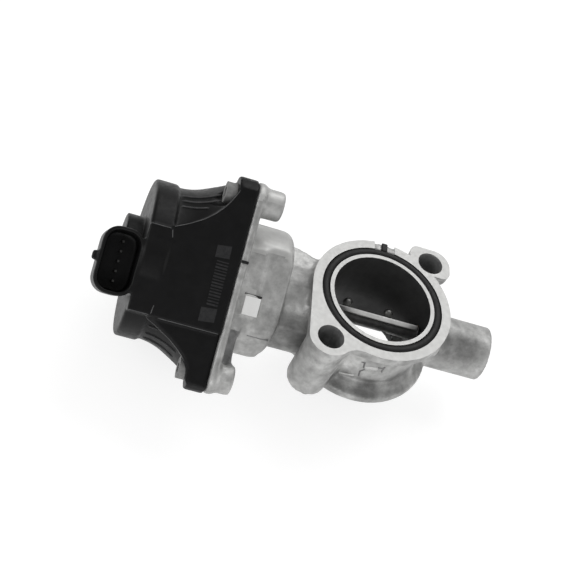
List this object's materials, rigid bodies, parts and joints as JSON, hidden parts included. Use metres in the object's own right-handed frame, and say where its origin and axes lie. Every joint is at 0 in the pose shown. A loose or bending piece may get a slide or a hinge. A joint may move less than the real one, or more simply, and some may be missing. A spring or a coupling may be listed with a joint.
{
  "type": "egr valve",
  "caption": "Flap type EGR valve: cast housing with a gas bore, bolted flange with a face seal, a side gas tube, and a direct drive rotary actuator with a sealed connector.",
  "frame": {"origin": "centre of the gas bore in the upper flange face", "axes": "+Z out of the upper flange face along the bore, +X along the flap shaft from the actuator to the gas tube"},
  "size_m": [0.1744, 0.0862, 0.0824],
  "materials": {
    "cast_aluminium": "as cast, machined on the sealing faces",
    "black_plastic": "moulded, fine grain",
    "seal_rubber": "matt",
    "plated_steel": "zinc plated",
    "bright_steel": "ground",
    "dark_steel": "heat tinted",
    "bearing_bronze": "machined",
    "motor_steel": "laminated sheet",
    "copper_wire": "enamelled",
    "magnet": "nickel plated",
    "circuit_board": "lacquered"
  },
  "bodies": {
    "frame": {"valve_housing": "cast_aluminium", "flange_seal": "seal_rubber", "cover_gasket": "seal_rubber", "far_bush": "bearing_bronze", "near_bush": "bearing_bronze", "shaft_seal": "seal_rubber", "bearing_outer_ring": "bright_steel", "bearing_balls": "bright_steel", "bearing_clip": "bright_steel", "end_plug": "bright_steel", "actuator_cover": "black_plastic", "cover_screws": "plated_steel", "screw_sleeves": "bearing_bronze", "stator_core": "motor_steel", "stator_coils": "copper_wire", "sensor_board": "circuit_board", "sensor_chip": "black_plastic", "connector_pins": "bearing_bronze", "stop_pins": "bright_steel", "return_spring": "bright_steel"},
    "flap": {"flap_shaft": "dark_steel", "flap_plate": "bright_steel", "flap_screws": "dark_steel", "bearing_inner_ring": "bright_steel", "rotor_hub": "motor_steel", "rotor_magnets": "magnet", "sensor_magnet": "magnet", "spring_carrier": "black_plastic", "stop_lever": "plated_steel"}
  },
  "joints": [
    {"name": "flap_turn", "type": "hinge", "parent": "frame", "child": "flap", "pos_m": [0, 0, -0.0158], "axis": [1, 0, 0], "range_deg": [-41, 49], "stiffness_Nm_per_rad": 0.02}
  ]
}
